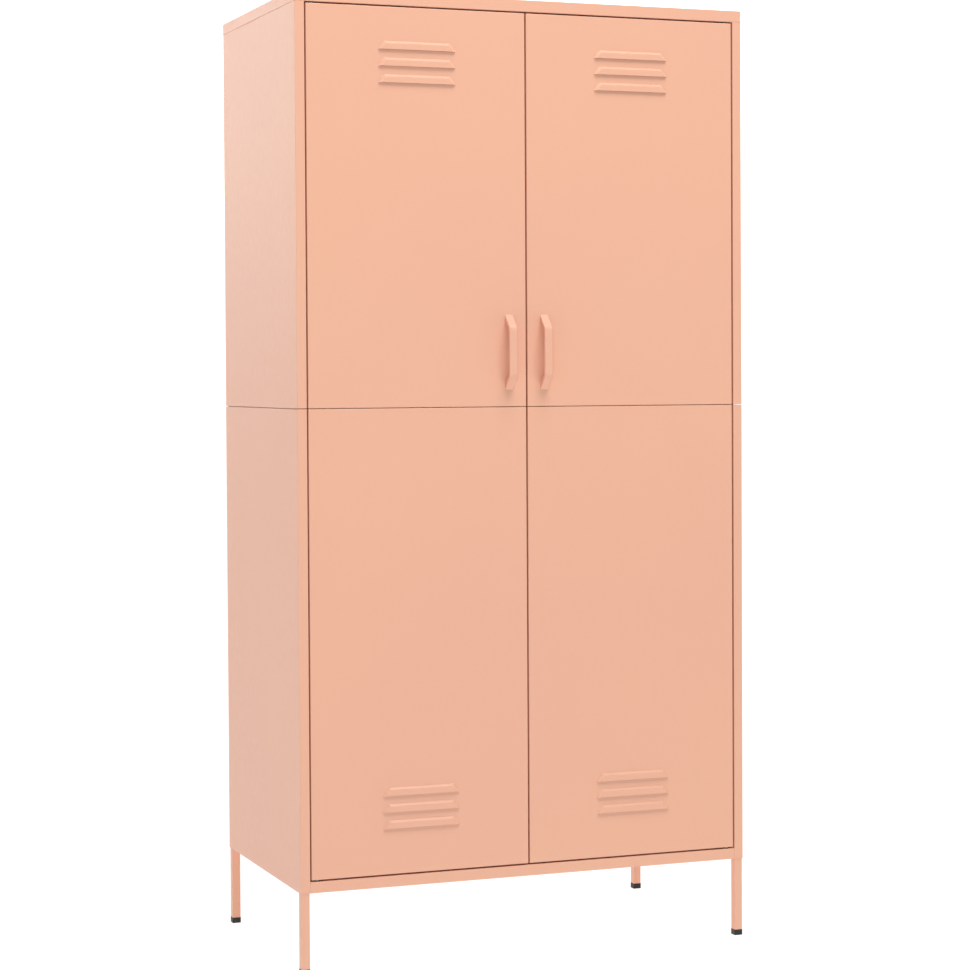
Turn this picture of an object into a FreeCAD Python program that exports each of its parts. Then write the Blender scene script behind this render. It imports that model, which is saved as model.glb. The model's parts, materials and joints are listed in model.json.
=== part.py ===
import FreeCAD, Part
import os
import re
import Sketcher

# Sheet-steel wardrobe locker: two full-height doors on four square legs.
# Frame: +X to the right, doors face -Y, +Z up, origin on the floor under the middle of the
# whole box, handles included.  All sizes are in millimetres.

SIZES = {
    "cabinet_width": 900,
    "cabinet_depth": 500,
    "cabinet_height": 1800,
    "gauge": 1,
    "fold_radius": 1.4,
    "body_bottom": 151,
    "rail_height": 20.5,
    "skirt_height": 22,
    "seam_height": 1038,
    "seam_gap": 1.2,
    "seam_depth": 4,
    "stile_width": 18,
    "jamb_depth": 25,
    "stop_width": 18,
    "stop_height": 14,
    "flange_width": 20,
    "cover_lip": 45,
    "back_recess": 3,
    "door_gap": 3,
    "door_depth": 18,
    "door_lip": 14,
    "pivot_inset": 12,
    "pivot_depth": 7,
    "pin_radius": 3,
    "pin_plate": 10.6,
    "pin_shoulder": 4.2,
    "running_gap": 0.06,
    "bush_radius": 4.6,
    "bush_flange": 5.4,
    "bush_rim": 1.8,
    "bush_barrel": 7,
    "handle_length": 141,
    "handle_width": 16.5,
    "handle_bar": 5,
    "handle_bend": 16,
    "handle_edge": 2.2,
    "handle_foot": 13,
    "handle_screw": 8,
    "handle_bite": 4,
    "handle_reach": 24,
    "handle_rise": 25,
    "handle_inset": 34,
    "handle_lift": 32,
    "louvre_width": 153,
    "louvre_taper": 12,
    "louvre_height": 15.5,
    "louvre_bevel": 4.6,
    "louvre_reach": 3.6,
    "louvre_pitch": 30.5,
    "louvre_bend": 1.2,
    "louvre_drop": 139,
    "louvre_lift": 85,
    "leg_size": 16,
    "leg_wall": 1.2,
    "leg_inset": 1.2,
    "plate_width": 23,
    "plate_length": 62,
    "plate_margin": 1.6,
    "leg_screw_inset": 5.5,
    "leg_screw_start": 20,
    "leg_screw_pitch": 13,
    "plate_gauge": 2,
    "cap_height": 11,
    "cap_margin": 0.4,
    "cap_plug": 18,
    "shelf_height": 1478,
    "shelf_edge": 25,
    "clip_size": 12,
    "clip_height": 8,
    "rail_radius": 9.5,
    "rail_drop": 70,
    "socket_radius": 19,
    "socket_depth": 12,
    "splice_height": 26,
    "splice_gauge": 1.5,
    "stiffener_width": 34,
    "stiffener_depth": 14,
    "strike_gauge": 1.2,
    "strike_place": 60,
    "catch_width": 46,
    "catch_depth": 18,
    "catch_height": 14,
    "screw_radius": 2,
    "bolt_radius": 3,
    "anchor_radius": 3.5,
    "anchor_spacing": 700,
}

DERIVED = {
    "half_width": "cabinet_width / 2",
    "front": "(handle_reach - cabinet_depth) / 2",
    "back": "(handle_reach + cabinet_depth) / 2",
    "wall": "half_width - gauge",
    "sheet_back": "back - back_recess",
    "floor_top": "body_bottom + rail_height",
    "floor_low": "floor_top - gauge",
    "cover_low": "cabinet_height - skirt_height",
    "door_low": "floor_top + door_gap",
    "door_high": "cover_low - door_gap",
    "door_outer": "half_width - stile_width - door_gap",
    "door_inner": "door_gap / 2",
    "door_rear": "front + door_depth",
    "pivot_place": "door_outer - pivot_inset",
    "pivot_line": "front + pivot_depth",
    "partition_front": "door_rear + 2",
    "inside_front": "front + jamb_depth + gauge",
    "inside_back": "sheet_back - flange_width",
    "stop_end": "half_width - stile_width - stop_width - 0.5",
    "handle_place": "door_inner + handle_inset",
    "handle_low": "seam_height + handle_lift",
    "handle_slope": "hypot(handle_reach; handle_rise)",
    "grip_start": "(handle_rise * (handle_reach - handle_bar) + handle_bar * handle_slope) / handle_reach",
    "seam_low": "seam_height - seam_gap / 2",
    "seam_high": "seam_height + seam_gap / 2",
    "rail_line": "(front + back) / 2",
    "rail_level": "shelf_height - rail_drop",
    "catch_front": "door_rear + strike_gauge + 1.4",
    "splice_rear": "door_rear + splice_gauge",
    "leaf_middle": "(door_inner + door_outer) / 2",
    "anchor_level": "cover_low - 60",
}

SIDES = {"left": -1, "right": 1}
CORNERS = {
    "front_left": (-1, "front", 1),
    "front_right": (1, "front", 1),
    "rear_right": (1, "sheet_back", -1),
    "rear_left": (-1, "sheet_back", -1),
}
PLANES = {"plan": "XY_Plane", "front": "XZ_Plane", "side": "YZ_Plane"}

document = FreeCAD.newDocument("LockerCabinet")


def write_sheet():
    """Put every driving dimension in the sheet under its own alias."""
    sheet = document.addObject("Spreadsheet::Sheet", "Sizes")
    for row, (name, value) in enumerate(SIZES.items(), 1):
        sheet.set(f"A{row}", name)
        sheet.set(f"B{row}", str(value))
        sheet.setAlias(f"B{row}", name)
    document.recompute()
    return sheet


def bound(text):
    """Turn a size in words into an expression on the sheet's cells."""
    def swap(match):
        word = match.group()
        if word in DERIVED:
            return f"({bound(DERIVED[word])})"
        return f"Sizes.{word}" if word in SIZES else word
    return re.sub(r"[a-z_]+", swap, text)


def measure(text):
    """Give a size in words as a number."""
    return float(sheet.evalExpression(bound(text)))


def mirrored(side, *sizes):
    """Give sizes across the cabinet on the chosen side of its middle."""
    return [f"{side} * ({size})" for size in sizes]


def box_loop(low_across, high_across, low_up, high_up):
    """Give the corners of a rectangle."""
    return [(low_across, low_up), (high_across, low_up), (high_across, high_up), (low_across, high_up)]


def circle(across, up, radius):
    """Give a round outline as a one-item loop."""
    return [(across, up, radius)]


def holes(centres, radius="screw_radius"):
    """Give a round outline at every centre."""
    return [circle(across, up, radius) for across, up in centres]


def new_body(label):
    """Start a sub-part under its node name."""
    body = document.addObject("PartDesign::Body", "Body")
    body.Label = label
    return body


def place(body, across="0", along="0", up="0"):
    """Place a sub-part by sizes in words."""
    for axis, size in zip("xyz", (across, along, up)):
        body.setExpression(f"Placement.Base.{axis}", bound(size))


def dimension(sketch, kind, *where, size):
    """Add one dimension and bind it to the sheet."""
    index = sketch.addConstraint(Sketcher.Constraint(kind, *where, measure(size)))
    sketch.setExpression(f"Constraints[{index}]", bound(size))


def add_loop(sketch, loop):
    """Draw one closed outline with every point dimensioned from the origin."""
    first = sketch.GeometryCount
    if len(loop) == 1:
        across, up, radius = loop[0]
        middle = FreeCAD.Vector(measure(across), measure(up), 0)
        sketch.addGeometry(Part.Circle(middle, FreeCAD.Vector(0, 0, 1), measure(radius)))
        dimension(sketch, "Radius", first, size=radius)
        dimension(sketch, "DistanceX", -1, 1, first, 3, size=across)
        dimension(sketch, "DistanceY", -1, 1, first, 3, size=up)
        return
    points = [FreeCAD.Vector(measure(across), measure(up), 0) for across, up in loop]
    followers = points[1:] + points[:1]
    sketch.addGeometry([Part.LineSegment(a, b) for a, b in zip(points, followers)])
    for index, (across, up) in enumerate(loop):
        after = (index + 1) % len(loop)
        sketch.addConstraint(Sketcher.Constraint("Coincident", first + index, 2, first + after, 1))
        dimension(sketch, "DistanceX", -1, 1, first + index, 1, size=across)
        dimension(sketch, "DistanceY", -1, 1, first + index, 1, size=up)


def new_sketch(body, plane, level, loops):
    """Draw outlines on a plane that stands at a level along its own world axis."""
    sketch = body.newObject("Sketcher::SketchObject", "Outline")
    support = next(item for item in body.Origin.OriginFeatures if item.Role == PLANES[plane])
    sketch.AttachmentSupport = [(support, "")]
    sketch.MapMode = "FlatFace"
    sign = "-1" if plane == "front" else "1"
    sketch.setExpression("AttachmentOffset.Base.z", bound(f"{sign} * ({level})"))
    for loop in loops:
        add_loop(sketch, loop)
    return sketch


def pad(body, plane, level, length, *loops):
    """Add material from a level, towards the positive world axis."""
    sketch = new_sketch(body, plane, level, loops)
    feature = body.newObject("PartDesign::Pad", "Pad")
    feature.Profile = sketch
    feature.Reversed = plane == "front"
    feature.setExpression("Length", bound(length))
    return feature


def cut(body, plane, level, length, *loops):
    """Remove material from a level, towards the positive world axis."""
    sketch = new_sketch(body, plane, level, loops)
    feature = body.newObject("PartDesign::Pocket", "Pocket")
    feature.Profile = sketch
    feature.Reversed = plane != "front"
    feature.setExpression("Length", bound(length))
    return feature


def turned(body, profile):
    """Turn a (radius, height) outline about the vertical axis."""
    sketch = new_sketch(body, "front", "0", [profile])
    feature = body.newObject("PartDesign::Revolution", "Revolution")
    feature.Profile = sketch
    feature.ReferenceAxis = (sketch, ["V_Axis"])
    feature.Angle = 360


def round_edges(body, radius, wanted):
    """Round every edge that the test accepts by its bounding box."""
    document.recompute()
    tip = body.Tip
    names = [f"Edge{i}" for i, edge in enumerate(tip.Shape.Edges, 1) if wanted(edge.BoundBox)]
    if not names:
        raise RuntimeError(f"{body.Label}: no edge to round")
    feature = body.newObject("PartDesign::Fillet", "Fillet")
    feature.Base = (tip, names)
    feature.setExpression("Radius", bound(radius))


def near(value, size):
    """Say whether a coordinate is at a size in words."""
    return abs(value - measure(size)) < 0.01


def fasteners(label, plane, centres, shank, head, radius="screw_radius"):
    """Make a group of pan-head screws: shank and head are (level, length) pairs."""
    body = new_body(label)
    pad(body, plane, *shank, *holes(centres, radius))
    pad(body, plane, *head, *holes(centres, f"1.9 * {radius}"))
    head_first = measure(head[0]) < measure(shank[0])
    face = head[0] if head_first else f"{head[0]} + {head[1]}"
    axis = {"plan": "Z", "front": "Y", "side": "X"}[plane]

    def on_rim(box):
        low, high = getattr(box, f"{axis}Min"), getattr(box, f"{axis}Max")
        wide = max(box.XLength, box.YLength, box.ZLength) > measure(f"3 * {radius}")
        return near(low, face) and near(high, face) and wide

    round_edges(body, "0.8", on_rim)
    drive = face if head_first else f"{face} - 1"
    cut(body, plane, drive, "1", *holes(centres, f"0.7 * {radius}"))


def both(size):
    """Give a size on both sides of the middle."""
    return [f"{side} * ({size})" for side in SIDES.values()]


def grid(places, lines):
    """Give every pair of the two lists."""
    return [(across, line) for across in places for line in lines]


def pivots():
    """Give the places of the two door pivots in plan."""
    return grid(both("pivot_place"), ["pivot_line"])


def level_stops(body, start, low, height):
    """Fold a door stop along the cover or the floor, in two lengths beside the partition."""
    for side in SIDES.values():
        inner, outer = mirrored(side, start, "stop_end")
        pad(body, "plan", low, height, box_loop(inner, outer, "inside_front - gauge", "inside_front"))


def make_cover():
    """Lid tray: top sheet, skirt and return lips, with holes for the upper bushes."""
    body = new_body("top_cover")
    outside = box_loop("-half_width", "half_width", "front", "back")
    pad(body, "plan", "cover_low", "skirt_height", outside)
    inside = box_loop("-wall", "wall", "front + gauge", "back - gauge")
    cut(body, "plan", "cover_low + gauge", "skirt_height - 2 * gauge", inside)
    mouth = box_loop("flange_width - half_width", "half_width - flange_width",
                     "front + cover_lip", "back - flange_width - back_recess")
    cut(body, "plan", "cover_low", "gauge", mouth)
    level_stops(body, "strike_place + catch_width / 2 + 2", "cover_low - stop_height", "stop_height + gauge")
    cut(body, "plan", "cover_low", "gauge", *holes(pivots(), "bush_radius"))

    def is_outside(box):
        on_side = near(box.XMax, "-half_width") or near(box.XMin, "half_width")
        on_end = near(box.YMax, "front") or near(box.YMin, "back")
        on_rim = near(box.ZMin, "cabinet_height") or near(box.ZMax, "cover_low")
        return (on_side and on_end) or ((on_side or on_end) and on_rim)

    round_edges(body, "fold_radius", is_outside)


def make_base():
    """Floor tray with the front rail between the stiles and down-turned edges."""
    body = new_body("base_panel")
    rail_end = "half_width - stile_width - 0.3"
    floor_end = "wall - 0.3"
    notch = "front + leg_inset + 0.1"
    outline = [
        (f"-({rail_end})", "front"), (rail_end, "front"), (rail_end, notch), (floor_end, notch),
        (floor_end, "sheet_back"), (f"-({floor_end})", "sheet_back"),
        (f"-({floor_end})", notch), (f"-({rail_end})", notch),
    ]
    pad(body, "plan", "floor_low", "gauge", outline)
    level_stops(body, "2", "floor_low", "stop_height + gauge")
    clear = "(leg_inset + leg_size + 2)"
    lip_end = "half_width - flange_width - 2"
    pad(body, "plan", "body_bottom", "rail_height",
        box_loop(f"-({rail_end})", rail_end, "front", "front + gauge"))
    pad(body, "plan", "body_bottom", "gauge",
        box_loop(f"-({lip_end})", lip_end, "front", "front + stile_width"))
    for side in SIDES.values():
        outer, inner, lip = mirrored(side, floor_end, f"{floor_end} - gauge", lip_end)
        pad(body, "plan", "body_bottom + gauge", "rail_height - gauge",
            box_loop(inner, outer, f"front + {clear}", f"sheet_back - {clear}"))
        pad(body, "plan", "body_bottom + gauge", "gauge",
            box_loop(lip, outer, f"front + {clear}", f"sheet_back - {clear}"))
    pad(body, "plan", "body_bottom", "rail_height",
        box_loop(f"-({lip_end})", lip_end, "sheet_back - gauge", "sheet_back"))
    cut(body, "plan", "floor_low", "gauge", *holes(pivots(), "bush_radius"))
    round_edges(body, "0.7", lambda box: near(box.YMax, "front") and near(box.ZMin, "floor_top"))


def side_section(side, low, high, body):
    """Fold the wall and stile over a height."""
    outer, wall, stile = mirrored(side, "half_width", "wall", "half_width - stile_width")
    section = [
        (outer, "front"), (stile, "front"), (stile, "front + gauge"), (wall, "front + gauge"),
        (wall, "sheet_back"), (outer, "sheet_back"),
    ]
    pad(body, "plan", low, f"{high} - ({low})", section)


def side_folds(side, low, high, body):
    """Fold the jamb, the door stop and the rear flange over a height."""
    jamb, jamb_in, stop = mirrored(side, "half_width - stile_width", "half_width - stile_width + gauge",
                                   "half_width - stile_width - stop_width")
    height = f"{high} - ({low})"
    pad(body, "plan", low, height, box_loop(jamb, jamb_in, "front", "inside_front"))
    pad(body, "plan", low, height, box_loop(stop, jamb_in, "inside_front - gauge", "inside_front"))
    wall, flange = mirrored(side, "half_width", "half_width - flange_width")
    pad(body, "plan", low, height, box_loop(flange, wall, "sheet_back - gauge", "sheet_back"))


def side_flange(side, level, body, ahead="inside_front + 1", behind="inside_back"):
    """Fold one level flange inwards from the wall."""
    outer, inner = mirrored(side, "wall", "half_width - flange_width - 4")
    pad(body, "plan", level, "gauge", box_loop(inner, outer, ahead, behind))


def side_hem(side, body):
    """Fold the upper seam flange back under itself, set in from the wall so that a groove shows."""
    outer, inner = mirrored(side, "wall - seam_depth", "half_width - flange_width - 4")
    pad(body, "plan", "seam_low", "seam_gap",
        box_loop(inner, outer, "inside_front + 1", "sheet_back - gauge"))


def round_side(side, body, *levels):
    """Round the fold at the front corner and the outside edges at the given levels."""
    outer = mirrored(side, "half_width")[0]

    def is_fold(box):
        on_wall = near(box.XMin, outer) and near(box.XMax, outer)
        on_front = near(box.YMin, "front") and near(box.YMax, "front")
        on_level = any(near(box.ZMin, level) and near(box.ZMax, level) for level in levels)
        return (on_wall and on_front) or ((on_wall or on_front) and on_level)

    round_edges(body, "0.9 * gauge", is_fold)


def make_side(name, side):
    """Make the lower and upper folded side panels; a hemmed flange carries the upper one."""
    lower = new_body(f"{name}_side_lower")
    side_section(side, "body_bottom", "seam_low", lower)
    side_folds(side, "floor_top + 0.3", "seam_low", lower)
    side_flange(side, "seam_low - gauge", lower, behind="sheet_back - gauge")
    clear = "(leg_inset + leg_size + 2)"
    side_flange(side, "body_bottom", lower, f"front + {clear}", f"sheet_back - {clear}")
    round_side(side, lower, "seam_low")
    upper = new_body(f"{name}_side_upper")
    side_section(side, "seam_high", "cover_low", upper)
    side_folds(side, "seam_high", "cover_low", upper)
    side_flange(side, "seam_high", upper, behind="sheet_back - gauge")
    side_hem(side, upper)
    side_flange(side, "cover_low - gauge", upper)
    round_side(side, upper, "seam_high", "cover_low")


def make_back(label, low, high, flange_level):
    """Back sheet with a folded flange along the seam."""
    body = new_body(label)
    pad(body, "front", "sheet_back", "gauge", box_loop("0.5 - half_width", "half_width - 0.5", low, high))
    for side in SIDES.values():
        near_end, far_end = mirrored(side, "flange_width + 5", "half_width - flange_width - 8")
        pad(body, "plan", flange_level, "gauge",
            box_loop(near_end, far_end, "sheet_back - 12", "sheet_back + gauge"))
    return body


def make_backs():
    """Upper back sheet with wall-anchor holes, and lower back sheet."""
    upper = make_back("back_upper", "seam_high", "cover_low - 0.2", "seam_high")
    anchors = grid(both("anchor_spacing / 2"), ["anchor_level"])
    cut(upper, "front", "sheet_back", "gauge", *holes(anchors, "anchor_radius"))
    make_back("back_lower", "body_bottom", "seam_low", "seam_low - gauge")


def make_partition(label, low, high, sole):
    """Middle wall with a front flange, a rear flange and level flanges; the sole is the lower one."""
    body = new_body(label)
    height = f"{high} - ({low})"
    pad(body, "plan", low, height,
        box_loop("-gauge / 2", "gauge / 2", "partition_front", "sheet_back"))
    pad(body, "plan", low, height,
        box_loop("-1.4 * flange_width", "1.4 * flange_width", "partition_front", "partition_front + gauge"))
    pad(body, "plan", low, height,
        box_loop("-gauge / 2", "flange_width", "sheet_back - gauge", "sheet_back"))
    for level, thickness in ((low, sole), (f"{high} - gauge", "gauge")):
        pad(body, "plan", level, thickness,
            box_loop("-gauge / 2", "flange_width", "partition_front + 8", "inside_back"))


def make_shelf(name, side):
    """Hat shelf: level sheet with folded front and rear edges."""
    body = new_body(f"{name}_hat_shelf")
    low = "shelf_height - shelf_edge"
    section = [
        ("inside_front + 3", "shelf_height"), ("inside_front + 3", low),
        ("inside_front + 15", low), ("inside_front + 15", f"{low} + gauge"),
        ("inside_front + 3 + gauge", f"{low} + gauge"),
        ("inside_front + 3 + gauge", "shelf_height - gauge"),
        ("inside_back - gauge", "shelf_height - gauge"), ("inside_back - gauge", low),
        ("inside_back", low), ("inside_back", "shelf_height"),
    ]
    width = "wall - gauge / 2 - 2"
    start = "gauge / 2 + 1" if side > 0 else "1 - wall"
    pad(body, "side", start, width, section)
    round_edges(body, "fold_radius / 2", lambda box: box.XLength > 100 and near(box.ZMin, "shelf_height"))


def make_clips():
    """Eight shelf clips, four under each shelf, on the walls and the partition."""
    body = new_body("shelf_clips")
    loops = []
    for side in SIDES.values():
        for start, end in (("gauge / 2", "gauge / 2 + clip_size"), ("wall - clip_size", "wall")):
            for ahead in ("inside_front + 40", "inside_back - 50"):
                low, high = mirrored(side, start, end)
                loops.append(box_loop(low, high, ahead, f"{ahead} + clip_size"))
    pad(body, "plan", "shelf_height - gauge - clip_height", "clip_height", *loops)
    round_edges(body, "1", lambda box: near(box.ZMax, "shelf_height - gauge - clip_height"))


def make_hanging_rail(name, side):
    """Round tube between the wall and the partition."""
    body = new_body(f"{name}_hanging_rail")
    start = "gauge / 2 + 3" if side > 0 else "3 - wall"
    pad(body, "side", start, "wall - gauge / 2 - 6", circle("rail_line", "rail_level", "rail_radius"),
        circle("rail_line", "rail_level", "rail_radius - 1.2"))


def make_sockets():
    """Four flanged cups that hold the ends of the hanging rails."""
    body = new_body("rail_sockets")
    for side in SIDES.values():
        for face, inward in (("gauge / 2", 1), ("wall", -1)):
            low, high = sorted(mirrored(side, face, f"{face} + {inward} * 2.5"), key=measure)
            pad(body, "side", low, f"{high} - ({low})",
                circle("rail_line", "rail_level", "socket_radius"))
            low, high = sorted(mirrored(side, face, f"{face} + {inward} * socket_depth"), key=measure)
            pad(body, "side", low, f"{high} - ({low})",
                circle("rail_line", "rail_level", "rail_radius + 3"))
    for side in SIDES.values():
        low = "gauge / 2 + 2.5" if side > 0 else "2.5 - wall"
        cut(body, "side", low, "wall - gauge / 2 - 5",
            circle("rail_line", "rail_level", "rail_radius + 0.1"))


def corner_place(side, edge, inward):
    """Give the middle of a leg from the corner that it stands in."""
    inset = "(leg_inset + leg_size / 2)"
    return f"{side} * (half_width - {inset})", f"{edge} + {inward} * {inset}"


def leg_screws(side, inward):
    """Give a leg's screws from its middle, in a row along its plate."""
    rows = [f"{inward} * (leg_screw_start + {step} * leg_screw_pitch)" for step in range(3)]
    return grid([f"{-side} * leg_screw_inset"], rows)


def make_leg(name, side, edge, inward):
    """Square tube with a plate welded on its top end."""
    body = new_body(f"{name}_leg")
    half = "leg_size / 2"
    hollow = "leg_size / 2 - leg_wall"
    tube_top = "floor_low - plate_gauge"
    pad(body, "plan", "cap_height", f"{tube_top} - cap_height",
        box_loop(f"-({half})", half, f"-({half})", half),
        box_loop(f"-({hollow})", hollow, f"-({hollow})", hollow))
    round_edges(body, "0.8", lambda box: box.ZLength > 100 and near(abs(box.XMax), half))
    start = f"(plate_margin - {half})"
    pad(body, "plan", tube_top, "plate_gauge",
        box_loop(*mirrored(-side, start, f"{start} + plate_width"),
                 *mirrored(inward, start, f"{start} + plate_length")))
    cut(body, "plan", tube_top, "plate_gauge", *holes(leg_screws(side, inward), "bolt_radius"))
    place(body, *corner_place(side, edge, inward))


def make_cap(name, side, edge, inward):
    """Plastic foot cap with a plug that pushes into the tube."""
    body = new_body(f"{name}_foot_cap")
    half = "leg_size / 2 + cap_margin"
    plug = "leg_size / 2 - leg_wall"
    pad(body, "plan", "0", "cap_height", box_loop(f"-({half})", half, f"-({half})", half))
    round_edges(body, "1", lambda box: box.ZMax < 1 or box.ZLength > 5)
    pad(body, "plan", "cap_height", "cap_plug", box_loop(f"-({plug})", plug, f"-({plug})", plug))
    place(body, *corner_place(side, edge, inward))


def leg_screw_centres():
    """Give every leg screw's place in the cabinet's frame."""
    centres = []
    for side, edge, inward in CORNERS.values():
        middle, line = corner_place(side, edge, inward)
        for across, along in leg_screws(side, inward):
            centres.append((f"{middle} + {across}", f"{line} + {along}"))
    return centres


def make_bushes(label, rim_level, barrel_level):
    """Flanged nylon bushes on one level, one for each door."""
    body = new_body(label)
    for level, height, radius in ((rim_level, "bush_rim", "bush_flange"),
                                  (barrel_level, "bush_barrel", "bush_radius")):
        pad(body, "plan", level, height,
            *holes(pivots(), radius), *holes(pivots(), "pin_radius + running_gap"))


def make_catches():
    """Magnetic catches that hang from the cover's front lip, and their magnets."""
    body = new_body("catch_bodies")
    magnets = new_body("catch_magnets")
    low = "cover_low - catch_height"
    pockets = []
    for side in SIDES.values():
        start, end = mirrored(side, "strike_place - catch_width / 2", "strike_place + catch_width / 2")
        pad(body, "plan", low, "catch_height",
            box_loop(start, end, "catch_front", "catch_front + catch_depth"))
        start, end = mirrored(side, "strike_place - 13", "strike_place + 13")
        pockets.append(box_loop(start, end, f"{low} + 3", f"{low} + 9"))
    cut(body, "front", "catch_front", "5", *pockets)
    pad(magnets, "front", "catch_front - 1", "6", *pockets)


def make_bumpers():
    """Rubber buttons on the partition's front flange."""
    body = new_body("door_bumpers")
    levels = ("floor_top + 90", "seam_height - 120", "seam_height + 90", "cover_low - 70")
    pad(body, "front", "partition_front - 1.6", "1.6", *holes(grid(both("9"), levels), "4"))
    round_edges(body, "0.5", lambda box: near(box.YMax, "partition_front - 1.6"))


def make_leaf(label, side, low, high, louvre_low):
    """Folded door leaf: skin, edges, lips and three pressed louvres."""
    body = new_body(label)
    outer, inner = mirrored(side, "door_outer", "door_inner")
    outline = box_loop(outer, inner, low, high)
    pad(body, "front", "front", "door_depth", outline)
    wall = mirrored(side, "door_outer - gauge", "door_inner + gauge")
    cut(body, "front", "front + gauge", "door_depth - 2 * gauge",
        box_loop(*wall, f"{low} + gauge", f"{high} - gauge"))
    mouth = mirrored(side, "door_outer - door_lip", "door_inner + door_lip")
    cut(body, "front", "door_rear - gauge", "gauge",
        box_loop(*mouth, f"{low} + door_lip", f"{high} - door_lip"))
    round_edges(body, "fold_radius", lambda box: near(box.YMin, "front") and near(box.YMax, "front"))
    add_louvres(body, side, louvre_low)
    return body


def louvre_outline(side, low, foot, rise, margin):
    """Give a louvre's outline: a wide open lower edge and tapered ends."""
    half = f"louvre_width / 2 - {margin}"
    top = f"louvre_width / 2 - louvre_taper - {margin}"
    across = mirrored(side, f"leaf_middle - ({half}) + {foot}", f"leaf_middle + ({half}) - {foot}",
                      f"leaf_middle + ({top}) - {foot}", f"leaf_middle - ({top}) + {foot}")
    ups = (low, low, f"{low} + {rise} - {margin}", f"{low} + {rise} - {margin}")
    return list(zip(across, ups))


def add_louvres(body, side, low):
    """Press three hoods out of the skin, each open along its lower edge."""
    face_rise = "(louvre_height - louvre_bevel)"
    levels = [f"({low} + {row} * louvre_pitch)" for row in range(3)]
    for level in levels:
        hood = body.newObject("PartDesign::AdditiveLoft", "Hood")
        hood.Profile = new_sketch(body, "front", "front + gauge / 2",
                                  [louvre_outline(side, level, "0", "louvre_height", "0")])
        hood.Sections = [new_sketch(body, "front", "front - louvre_reach",
                                    [louvre_outline(side, level, "4", face_rise, "0")])]
    round_hoods(body, side, levels)
    for level in levels:
        throat = body.newObject("PartDesign::SubtractiveLoft", "Throat")
        throat.Profile = new_sketch(body, "front", "front + gauge * 1.2",
                                    [louvre_outline(side, level, "0", "louvre_height", "gauge")])
        throat.Sections = [new_sketch(body, "front", "front - louvre_reach + gauge",
                                      [louvre_outline(side, level, "4", face_rise, "gauge")])]


def round_hoods(body, side, levels):
    """Round the pressed bends of the hoods: all their edges but the open lower ones."""
    reach = measure("louvre_width") / 2 + 1
    middle = measure(f"{side} * leaf_middle")
    spans = [(measure(level), measure(f"{level} + louvre_height")) for level in levels]

    def is_bend(box):
        beside = abs(box.XMin - middle) < reach and abs(box.XMax - middle) < reach
        inside = any(low - 0.1 < box.ZMin and box.ZMax < high + 0.1 and box.ZMax > low + 0.1
                     for low, high in spans)
        return beside and inside and box.YMax < measure("front") + 0.1

    round_edges(body, "louvre_bend", is_bend)


def pivot_hole(body, side, level):
    """Drill the hole for a pivot pin in a door edge."""
    cut(body, "plan", level, "gauge", circle(f"{side} * pivot_place", "pivot_line", "pin_radius"))


def handle_holes(body, side):
    """Drill the two holes for the handle's screws in the skin."""
    cut(body, "front", "front", "gauge", *holes(handle_screws(side)))


def handle_screws(side):
    """Give the places of the two handle screws, one in each foot."""
    levels = ["handle_low + handle_screw", "handle_low + handle_length - handle_screw"]
    return grid([f"{side} * handle_place"], levels)


def make_handle(name, side):
    """Flat-bar bow handle with sloping ends, screwed on from inside the door."""
    body = new_body(f"{name}_handle")
    outer, inner = "front - handle_reach", "front - handle_reach + handle_bar"
    high = "handle_low + handle_length"
    outline = [
        ("front", "handle_low"), (outer, "handle_low + handle_rise"), (outer, f"{high} - handle_rise"),
        ("front", high), ("front", f"{high} - handle_foot"), (inner, f"{high} - grip_start"),
        (inner, "handle_low + grip_start"), ("front", "handle_low + handle_foot"),
    ]
    pad(body, "side", f"{side} * handle_place - handle_width / 2", "handle_width", outline)

    def is_bend(box):
        return box.XLength > 10 and near(box.YMin, outer) and near(box.YMax, outer)

    def is_inner_bend(box):
        return box.XLength > 10 and near(box.YMin, inner) and near(box.YMax, inner)

    def is_rim(box):
        return box.XLength < 0.01 and box.YMin < measure(inner) + 0.5 and not near(box.YMin, inner)

    round_edges(body, "handle_bend", is_bend)
    round_edges(body, "handle_bend - handle_bar", is_inner_bend)
    round_edges(body, "handle_edge", is_rim)
    cut(body, "front", "front - handle_bite", "handle_bite", *holes(handle_screws(side)))


def make_splice(name, side):
    """Flat bar that joins the two leaves across the seam, with its screws."""
    body = new_body(f"{name}_door_splice")
    start, end = "door_inner + 2.6 * flange_width", "door_outer - 2 * flange_width"
    half = "splice_height / 2"
    pad(body, "front", "door_rear", "splice_gauge",
        box_loop(*mirrored(side, start, end), f"seam_height - {half}", f"seam_height + {half}"))
    span = f"(({end}) - ({start}) - 40)"
    places = mirrored(side, *[f"{start} + 20 + {span} * {step} / 3" for step in range(4)])
    centres = grid(places, [f"seam_height + {row} * splice_height / 4" for row in (-1, 1)])
    cut(body, "front", "door_rear", "splice_gauge", *holes(centres))
    fasteners(f"{name}_splice_screws", "front", centres, ("door_rear - 4", "4 + splice_gauge"),
              ("splice_rear", "1.8"))
    return centres


def make_stiffener(label, side, low, high):
    """Hat channel on the inside of a leaf's skin."""
    body = new_body(label)
    half, rim = "stiffener_width / 2", "stiffener_width / 2 + 12"
    base, deep = "front + gauge", "front + gauge + stiffener_depth"
    section = [
        (rim, base), (rim, f"{base} + gauge"), (half, f"{base} + gauge"), (half, deep),
        (f"-({half})", deep), (f"-({half})", f"{base} + gauge"), (f"-({rim})", f"{base} + gauge"),
        (f"-({rim})", base), (f"gauge - {half}", base), (f"gauge - {half}", f"{deep} - gauge"),
        (f"{half} - gauge", f"{deep} - gauge"), (f"{half} - gauge", base),
    ]
    loop = [(f"{side} * leaf_middle + {across}", up) for across, up in section]
    pad(body, "plan", low, f"{high} - ({low})", loop)


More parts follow.
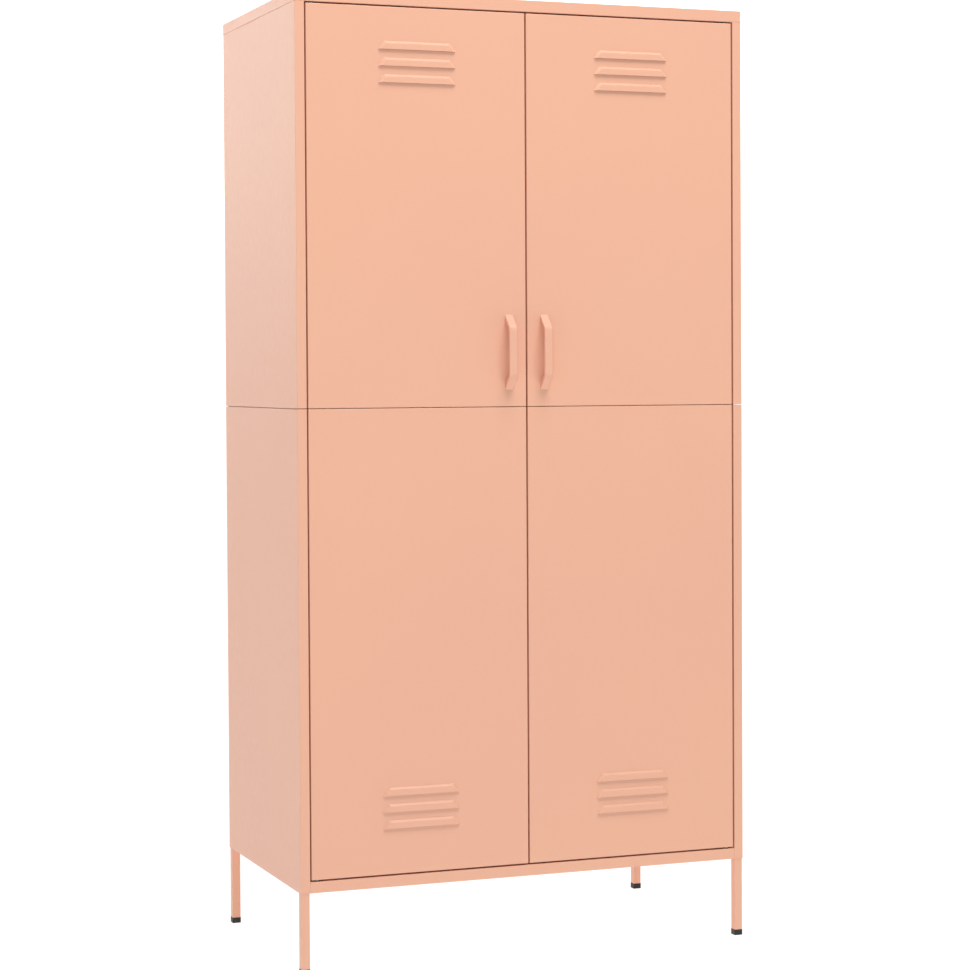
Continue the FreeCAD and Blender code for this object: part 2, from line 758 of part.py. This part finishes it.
def make_pin(label, side, level, up):
    """Turned pivot pin with a shoulder outside the door edge and a plate inside it."""
    body = new_body(label)
    reach = f"({up}) * (door_gap + bush_barrel - 1)"
    shoulder = f"({up}) * (door_gap - bush_rim - 0.3)"
    inside = f"({up}) * -(gauge + plate_gauge + 8)"
    turned(body, [
        ("0", inside), ("pin_radius", inside), ("pin_radius", "0"), ("pin_shoulder", "0"),
        ("pin_shoulder", shoulder), ("pin_radius", shoulder), ("pin_radius", reach), ("0", reach),
    ])
    plate = "-(gauge + plate_gauge)" if up > 0 else "gauge"
    pad(body, "plan", plate, "plate_gauge",
        box_loop("-pin_plate", "pin_plate", "gauge + 0.2 - pivot_depth", "8"))
    place(body, f"{side} * pivot_place", "pivot_line", level)


def make_strike(name, side):
    """Steel plate on the door's rear lip that the magnet holds."""
    body = new_body(f"{name}_strike_plate")
    start, end = mirrored(side, "strike_place - 17", "strike_place + 17")
    pad(body, "front", "door_rear", "strike_gauge",
        box_loop(start, end, "door_high - 13", "door_high - 1.5"))
    round_edges(body, "2", lambda box: box.YLength > 1)


def make_door(name, side):
    """Make one door: two leaves and everything that turns with them."""
    lower = make_leaf(f"{name}_door_lower", side, "door_low", "seam_low", "(door_low + louvre_lift)")
    pivot_hole(lower, side, "door_low")
    upper = make_leaf(f"{name}_door_upper", side, "seam_high", "door_high", "(door_high - louvre_drop)")
    pivot_hole(upper, side, "door_high - gauge")
    handle_holes(upper, side)
    centres = make_splice(name, side)
    for leaf in (lower, upper):
        above = leaf is upper
        cut(leaf, "front", "door_rear - gauge", "gauge", *holes(centres[above::2]))
    make_stiffener(f"{name}_upper_stiffener", side, "seam_height + 20", "door_high - louvre_drop - 60")
    make_stiffener(f"{name}_lower_stiffener", side, "door_low + louvre_lift + 120", "seam_height - 20")
    make_handle(name, side)
    fasteners(f"{name}_handle_screws", "front", handle_screws(side),
              ("front - handle_bite", "handle_bite + gauge"),
              ("front + gauge", "2.2"))
    make_pin(f"{name}_upper_pin", side, "door_high", 1)
    make_pin(f"{name}_lower_pin", side, "door_low", -1)
    make_strike(name, side)


def halves(*names):
    """Give the labels of the lower and upper parts of folded panels."""
    return [f"{name}_{half}" for name in names for half in ("lower", "upper")]


def drill(labels, plane, level, length, centres, radius="screw_radius"):
    """Drill the holes of a group of fasteners in the sub-parts that it joins."""
    for body in [item for item in document.Objects if item.Label in labels]:
        cut(body, plane, level, length, *holes(centres, radius))


def make_leg_screws():
    """Screw the leg plates up into the floor."""
    fasteners("leg_screws", "plan", leg_screw_centres(), ("floor_low - plate_gauge", "plate_gauge + gauge"),
              ("floor_low - plate_gauge - 2.6", "2.6"), "bolt_radius")
    drill(["base_panel"], "plan", "floor_low", "gauge", leg_screw_centres(), "bolt_radius")


def make_wall_screws():
    """Screw the side walls to the cover and the floor, and bolt them at the seam."""
    span = "(inside_back - inside_front - 80)"
    lengthwise = [f"inside_front + 40 + {step} * {span} / 2" for step in range(3)]
    edges = grid(both("half_width - flange_width / 2 - 2"), lengthwise)
    fasteners("cover_screws", "plan", edges, ("cover_low - gauge", "2 * gauge + 4"),
              ("cover_low - gauge - 2.2", "2.2"))
    drill(["left_side_upper", "right_side_upper", "top_cover"],
          "plan", "cover_low - gauge", "2 * gauge", edges)
    fasteners("base_screws", "plan", edges, ("body_bottom", "2 * gauge + 4"), ("body_bottom - 2.2", "2.2"))
    drill(["left_side_lower", "right_side_lower", "base_panel"], "plan", "body_bottom", "2 * gauge", edges)
    bolts = edges + grid(["flange_width / 2 + 2"], lengthwise[:2])
    fasteners("seam_bolts", "plan", bolts, ("seam_low - 6", "6 + seam_gap + gauge"),
              ("seam_high + gauge", "2.6"), "bolt_radius")
    joined = halves("left_side", "right_side", "partition")
    drill(joined, "plan", "seam_low - gauge", "2 * gauge + seam_gap", bolts, "bolt_radius")
    nuts = new_body("seam_nuts")
    pad(nuts, "plan", "seam_low - gauge - 5", "5",
        *holes(bolts, "1.8 * bolt_radius"), *holes(bolts, "bolt_radius"))


def make_back_screws():
    """Screw the back sheets to the side walls, the partition and the floor's rear edge."""
    columns = both("half_width - flange_width / 2") + ["flange_width / 2 + 2"]
    levels = [f"seam_height + {offset}" for offset in (-800, -440, -80, 80, 380, 680)]
    centres = grid(columns, levels) + grid(both("half_width / 2"), ["body_bottom + rail_height / 2"])
    fasteners("back_screws", "front", centres, ("sheet_back - gauge - 4", "2 * gauge + 4"),
              ("sheet_back + gauge", "1.6"))
    joined = halves("left_side", "right_side", "partition", "back") + ["base_panel"]
    drill(joined, "front", "sheet_back - gauge", "2 * gauge", centres)


def make_top_screws():
    """Screw the partition and the magnetic catches to the cover's front lip."""
    centres = grid(["flange_width / 2 + 2"], ["partition_front + 14"])
    fasteners("partition_screws", "plan", centres, ("cover_low - gauge", "2 * gauge + 3"),
              ("cover_low - gauge - 2.2", "2.2"))
    drill(["partition_upper", "top_cover"], "plan", "cover_low - gauge", "2 * gauge", centres)
    ears = [f"{middle} + {step} * 18" for middle in both("strike_place") for step in (-1, 1)]
    centres = grid(ears, ["catch_front + 12"])
    fasteners("catch_screws", "plan", centres, ("cover_low - catch_height", "catch_height + gauge + 2"),
              ("cover_low - catch_height - 2", "2"))
    drill(["catch_bodies"], "plan", "cover_low - catch_height", "catch_height", centres)
    drill(["top_cover"], "plan", "cover_low", "gauge", centres)


def find_faults():
    """List every object that failed and every cut that removed nothing."""
    faults = []
    for item in document.Objects:
        if {"Invalid", "Error"} & set(item.State):
            faults.append(f"{item.Name} ({item.Label}) failed")
        if item.TypeId == "PartDesign::Pocket" and item.BaseFeature:
            if item.Shape.Volume >= item.BaseFeature.Shape.Volume:
                faults.append(f"{item.Name} cuts nothing")
    return faults


def export_parts():
    """Check every sub-part and write it to its own file."""
    document.recompute()
    faults = find_faults()
    bodies = [item for item in document.Objects if item.TypeId == "PartDesign::Body"]
    for body in bodies:
        if body.Shape.isNull() or not body.Shape.isValid():
            faults.append(f"{body.Label} has no valid shape")
    if faults:
        raise RuntimeError("; ".join(faults))
    os.makedirs("parts", exist_ok=True)
    for body in bodies:
        body.Shape.exportStep(f"parts/{body.Label}.step")
    print(len(bodies), "sub-parts written")


sheet = write_sheet()
make_cover()
make_base()
make_backs()
make_partition("partition_lower", "floor_top", "seam_low", "gauge")
make_partition("partition_upper", "seam_low", "cover_low", "seam_gap + gauge")
make_clips()
make_sockets()
for corner, where in CORNERS.items():
    make_leg(corner, *where)
    make_cap(corner, *where)
make_bushes("upper_bushes", "cover_low - bush_rim", "cover_low")
make_bushes("lower_bushes", "floor_top", "floor_top - bush_barrel")
make_catches()
make_bumpers()
for side_name, side_sign in SIDES.items():
    make_side(side_name, side_sign)
    make_shelf(side_name, side_sign)
    make_hanging_rail(side_name, side_sign)
    make_door(side_name, side_sign)
make_leg_screws()
make_wall_screws()
make_back_screws()
make_top_screws()
export_parts()
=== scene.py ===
import json
import math

import bmesh
import bpy
from mathutils import Matrix, Vector

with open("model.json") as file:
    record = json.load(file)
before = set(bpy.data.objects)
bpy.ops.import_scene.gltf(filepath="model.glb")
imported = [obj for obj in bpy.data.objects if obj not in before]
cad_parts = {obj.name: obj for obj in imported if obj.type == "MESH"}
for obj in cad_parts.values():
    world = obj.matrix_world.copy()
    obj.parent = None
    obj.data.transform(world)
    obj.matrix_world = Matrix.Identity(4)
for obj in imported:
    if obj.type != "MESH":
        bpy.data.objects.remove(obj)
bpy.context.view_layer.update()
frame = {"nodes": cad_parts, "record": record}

NODES = frame["nodes"]
SLOTS = {part["node"]: part["material_slot"] for part in frame["record"]["subparts"]}

# The sheets are powder coated in one peach colour; every colour here is linear.
PEACH = (0.800, 0.430, 0.300, 1)
PEACH_WARM = (0.815, 0.442, 0.300, 1)
PEACH_PALE = (0.840, 0.484, 0.350, 1)

# The studio, in metres: a floor that curves up into a backdrop, inside a white dome.
FLOOR_FRONT = -14.0
FLOOR_HALF_WIDTH = 16.0
CURVE_START = 4.0
CURVE_RADIUS = 3.0
CURVE_STEPS = 24
BACKDROP_TOP = 4.2
SKY_RADIUS = 40.0
FLOOR_TONES = ((0.24, 0.24, 0.24, 1), (0.27, 0.27, 0.27, 1))
GLOW_HEIGHTS = (0.9, 2.8)
GLOW_STRENGTHS = (0.93, 2.2)

# Soft boxes: name, place, what it faces, size and power in watts.
MIDDLE = (0.0, 0.0, 1.0)
SOFT_BOXES = (
    ("top_box", (0.5, -2.5, 6.4), MIDDLE, 2.6, 295),
    ("front_box", (-2.0, -5.2, 1.3), MIDDLE, 1.6, 36),
    ("left_box", (-2.6, 0.6, 2.6), (-0.45, 0.0, 1.6), 1.4, 12),
    ("right_box", (2.6, 0.8, 2.8), (0.45, 0.0, 1.2), 1.4, 20),
)
WORLD_COLOUR = (1.0, 0.995, 0.985, 1)
WORLD_STRENGTH = 0.22

# The camera: its place in metres, its turn in radians and its lens in millimetres.
CAMERA_PLACE = (-1.7583, -4.6168, 1.1002)
CAMERA_YAW = 0.36501
CAMERA_PITCH = -0.02658
CAMERA_ROLL = 0.00538
CAMERA_SENSOR = 36.0
CAMERA_LENS = 93.04
CAMERA_SHIFT = -0.046


# ---------------------------------------------------------------- shader helpers

class Shader:
    """A Principled material built from a few named nodes."""

    def __init__(self, name):
        self.material = bpy.data.materials.new(name)
        self.material.use_nodes = True
        self.tree = self.material.node_tree
        self.surface = self.tree.nodes["Principled BSDF"]
        self.place = self.tree.nodes.new("ShaderNodeTexCoord").outputs["Object"]

    def set(self, **values):
        """Set sockets that are the same all over the surface."""
        for name, value in values.items():
            self.surface.inputs[name.replace("_", " ")].default_value = value

    def link(self, output, name):
        """Drive one socket of the surface."""
        self.tree.links.new(output, self.surface.inputs[name])

    def stretched(self, scale):
        """Give the place stretched along the axes, for grain with a direction."""
        node = self.tree.nodes.new("ShaderNodeVectorMath")
        node.operation = "MULTIPLY"
        node.inputs[1].default_value = scale
        self.tree.links.new(self.place, node.inputs[0])
        return node.outputs[0]

    def axis(self, name):
        """Give one coordinate of the place, in metres."""
        node = self.tree.nodes.new("ShaderNodeSeparateXYZ")
        self.tree.links.new(self.place, node.inputs[0])
        return node.outputs[name]

    def noise(self, scale, detail=3.0, roughness=0.5, place=None):
        """Make fractal noise; scale is in waves to the metre."""
        node = self.tree.nodes.new("ShaderNodeTexNoise")
        node.inputs["Scale"].default_value = scale
        node.inputs["Detail"].default_value = detail
        node.inputs["Roughness"].default_value = roughness
        self.tree.links.new(place or self.place, node.inputs["Vector"])
        return node.outputs["Fac"]

    def cells(self, scale):
        """Make rounded cells; scale is in cells to the metre."""
        node = self.tree.nodes.new("ShaderNodeTexVoronoi")
        node.feature = "SMOOTH_F1"
        node.inputs["Scale"].default_value = scale
        self.tree.links.new(self.place, node.inputs["Vector"])
        return node.outputs["Distance"]

    def span(self, source, low, high, into_low, into_high):
        """Map a range of values on to another."""
        node = self.tree.nodes.new("ShaderNodeMapRange")
        for name, value in zip(("From Min", "From Max", "To Min", "To Max"),
                               (low, high, into_low, into_high)):
            node.inputs[name].default_value = value
        self.tree.links.new(source, node.inputs["Value"])
        return node.outputs["Result"]

    def blend(self, factor, first, second):
        """Mix two colours; each is an RGBA tuple or another node's colour."""
        node = self.tree.nodes.new("ShaderNodeMix")
        node.data_type = "RGBA"
        self.tree.links.new(factor, node.inputs["Factor"])
        for socket, colour in zip(("A_Color", "B_Color"), (first, second)):
            target = next(item for item in node.inputs if item.identifier == socket)
            if isinstance(colour, tuple):
                target.default_value = colour
            else:
                self.tree.links.new(colour, target)
        return next(item for item in node.outputs if item.identifier == "Result_Color")

    def bump(self, *layers):
        """Stack bumps; each layer is (height, depth in metres)."""
        normal = None
        for height, depth in layers:
            node = self.tree.nodes.new("ShaderNodeBump")
            node.inputs["Strength"].default_value = 1.0
            node.inputs["Distance"].default_value = depth
            self.tree.links.new(height, node.inputs["Height"])
            if normal:
                self.tree.links.new(normal, node.inputs["Normal"])
            normal = node.outputs["Normal"]
        self.link(normal, "Normal")


# ---------------------------------------------------------------- materials

def powder_coat():
    """Satin powder coat: cloudy tone, fine speckle and orange peel."""
    coat = Shader("powder_coat")
    cloud = coat.span(coat.noise(2.2, 2.0), 0.35, 0.65, 0.0, 1.0)
    speckle = coat.span(coat.noise(900.0, 2.0, 0.6), 0.42, 0.72, 0.0, 0.35)
    tone = coat.blend(cloud, PEACH, PEACH_WARM)
    coat.link(coat.blend(speckle, tone, PEACH_PALE), "Base Color")
    coat.link(coat.span(coat.noise(60.0, 3.0), 0.3, 0.7, 0.36, 0.46), "Roughness")
    coat.set(Specular_IOR_Level=0.35)
    coat.bump((coat.noise(3.0, 1.0), 0.0006), (coat.noise(260.0, 2.0), 0.00010),
              (coat.noise(1100.0, 2.0, 0.6), 0.00003))
    return coat.material


def black_plastic():
    """Moulded black plastic with a fine spark-eroded grain."""
    plastic = Shader("black_plastic")
    wear = plastic.span(plastic.noise(90.0, 4.0), 0.45, 0.75, 0.0, 1.0)
    plastic.link(plastic.blend(wear, (0.014, 0.013, 0.013, 1), (0.035, 0.033, 0.032, 1)), "Base Color")
    plastic.link(plastic.span(plastic.noise(140.0), 0.3, 0.7, 0.48, 0.66), "Roughness")
    plastic.bump((plastic.cells(1500.0), 0.00006))
    return plastic.material


def nylon():
    """Natural nylon: milky, slightly uneven."""
    plastic = Shader("nylon")
    cloud = plastic.noise(120.0, 3.0)
    plastic.link(plastic.blend(cloud, (0.70, 0.68, 0.62, 1), (0.80, 0.79, 0.74, 1)), "Base Color")
    plastic.link(plastic.span(plastic.noise(300.0), 0.3, 0.7, 0.40, 0.55), "Roughness")
    plastic.set(Subsurface_Weight=0.15, Subsurface_Scale=0.002)
    plastic.bump((plastic.noise(700.0), 0.00003))
    return plastic.material


def metal(name, dark, light, rough, scale):
    """Plated steel with a drawn grain and a cloudy plate."""
    steel = Shader(name)
    grain = steel.noise(1.0, 3.0, 0.6, steel.stretched(scale))
    cloud = steel.noise(45.0, 3.0)
    tone = steel.blend(cloud, dark, light)
    steel.link(steel.blend(steel.span(grain, 0.4, 0.6, 0.0, 0.5), tone, light), "Base Color")
    steel.link(steel.span(grain, 0.3, 0.7, rough[0], rough[1]), "Roughness")
    steel.set(Metallic=1.0)
    steel.bump((grain, 0.00002))
    return steel.material


def rubber():
    """Soft dark rubber with a dusty bloom."""
    soft = Shader("rubber")
    bloom = soft.span(soft.noise(250.0, 4.0), 0.4, 0.7, 0.0, 1.0)
    soft.link(soft.blend(bloom, (0.045, 0.043, 0.042, 1), (0.10, 0.097, 0.093, 1)), "Base Color")
    soft.link(soft.span(bloom, 0.0, 1.0, 0.70, 0.88), "Roughness")
    soft.bump((soft.noise(900.0), 0.00004))
    return soft.material


def floor_material():
    """Pale matt studio sweep with the faintest unevenness, lit from within, more so up its backdrop."""
    floor = Shader("studio_floor")
    floor.link(floor.blend(floor.noise(6.0, 4.0), *FLOOR_TONES), "Base Color")
    floor.link(floor.span(floor.axis("Z"), *GLOW_HEIGHTS, *GLOW_STRENGTHS), "Emission Strength")
    floor.set(Roughness=0.9, Specular_IOR_Level=0.1, Emission_Color=(1, 1, 1, 1))
    return floor.material


def dress_nodes():
    """Give every carried-over node the material of its slot."""
    finishes = {
        "powder_coat": powder_coat(),
        "black_plastic": black_plastic(),
        "nylon": nylon(),
        "rubber": rubber(),
        "zinc_steel": metal("zinc_steel", (0.60, 0.60, 0.58, 1), (0.76, 0.75, 0.72, 1), (0.30, 0.45),
                            (900.0, 900.0, 60.0)),
        "magnet": metal("magnet", (0.20, 0.20, 0.21, 1), (0.30, 0.30, 0.31, 1), (0.35, 0.5),
                        (60.0, 900.0, 900.0)),
        "chrome": metal("chrome", (0.70, 0.70, 0.72, 1), (0.82, 0.82, 0.84, 1), (0.06, 0.12),
                        (20.0, 700.0, 700.0)),
    }
    for name, node in NODES.items():
        node.data.materials.clear()
        node.data.materials.append(finishes[SLOTS[name]])


# ---------------------------------------------------------------- studio

def sweep_profile():
    """Give the studio floor's line in depth: flat, then a wide curve up into the backdrop."""
    turns = [math.pi / 2 * step / CURVE_STEPS for step in range(CURVE_STEPS + 1)]
    curve = [(CURVE_START + CURVE_RADIUS * math.sin(turn), CURVE_RADIUS - CURVE_RADIUS * math.cos(turn))
             for turn in turns]
    return [(FLOOR_FRONT, 0.0), *curve, (CURVE_START + CURVE_RADIUS, BACKDROP_TOP)]


def make_studio():
    """Build the pale floor that sweeps up behind the cabinet."""
    line = sweep_profile()
    points = [(side * FLOOR_HALF_WIDTH, along, up) for along, up in line for side in (-1, 1)]
    faces = [(2 * i, 2 * i + 1, 2 * i + 3, 2 * i + 2) for i in range(len(line) - 1)]
    mesh = bpy.data.meshes.new("studio_floor")
    mesh.from_pydata(points, [], faces)
    mesh.shade_smooth()
    floor = bpy.data.objects.new("studio_floor", mesh)
    bpy.context.scene.collection.objects.link(floor)
    mesh.materials.append(floor_material())


def sky_material():
    """Even white that only lights the view, with a trace of cloud."""
    sky = Shader("studio_sky")
    sky.link(sky.blend(sky.noise(0.02), (0.98, 0.98, 0.98, 1), (1, 1, 1, 1)), "Emission Color")
    sky.set(Base_Color=(0, 0, 0, 1), Emission_Strength=1.0, Specular_IOR_Level=0.0)
    return sky.material


def make_sky():
    """Close the view with a white dome that casts no light or reflection on the cabinet."""
    mesh = bpy.data.meshes.new("studio_sky")
    shell = bmesh.new()
    bmesh.ops.create_icosphere(shell, subdivisions=4, radius=SKY_RADIUS)
    shell.to_mesh(mesh)
    shell.free()
    sky = bpy.data.objects.new("studio_sky", mesh)
    bpy.context.scene.collection.objects.link(sky)
    for ray in ("diffuse", "glossy", "transmission", "volume_scatter", "shadow"):
        setattr(sky, f"visible_{ray}", False)
    mesh.materials.append(sky_material())


def add_lamp(name, place, target, size, power):
    """Hang one square soft box that faces a target."""
    lamp = bpy.data.lights.new(name, "AREA")
    lamp.shape = "SQUARE"
    lamp.size = size
    lamp.energy = power
    holder = bpy.data.objects.new(name, lamp)
    holder.location = place
    aim = Vector(target) - Vector(place)
    holder.rotation_euler = aim.to_track_quat("-Z", "Y").to_euler()
    holder.visible_camera = False
    bpy.context.scene.collection.objects.link(holder)


def light_studio():
    """Light the cabinet softly from above, with weaker boxes by the camera and on each side."""
    for box in SOFT_BOXES:
        add_lamp(*box)
    world = bpy.data.worlds.new("studio")
    bpy.context.scene.world = world
    world.use_nodes = True
    back = world.node_tree.nodes["Background"]
    back.inputs["Color"].default_value = WORLD_COLOUR
    back.inputs["Strength"].default_value = WORLD_STRENGTH


def make_camera():
    """Stand the camera at the front left, a little above the cabinet's middle."""
    across, along = math.sin(CAMERA_YAW), math.cos(CAMERA_YAW)
    level = math.cos(CAMERA_PITCH)
    ahead = Vector((across * level, along * level, math.sin(CAMERA_PITCH)))
    right = Vector((along, -across, 0.0))
    down = ahead.cross(right)
    tilted_right = math.cos(CAMERA_ROLL) * right + math.sin(CAMERA_ROLL) * down
    tilted_down = math.cos(CAMERA_ROLL) * down - math.sin(CAMERA_ROLL) * right
    turn = Matrix((tilted_right, -tilted_down, -ahead)).transposed()
    camera = bpy.data.cameras.new("camera")
    camera.sensor_width = CAMERA_SENSOR
    camera.lens = CAMERA_LENS
    camera.shift_y = CAMERA_SHIFT
    holder = bpy.data.objects.new("camera", camera)
    holder.matrix_world = Matrix.Translation(CAMERA_PLACE) @ turn.to_4x4()
    bpy.context.scene.collection.objects.link(holder)
    bpy.context.scene.camera = holder
    bpy.context.scene.view_settings.view_transform = "Standard"


dress_nodes()
make_studio()
make_sky()
light_studio()
make_camera()
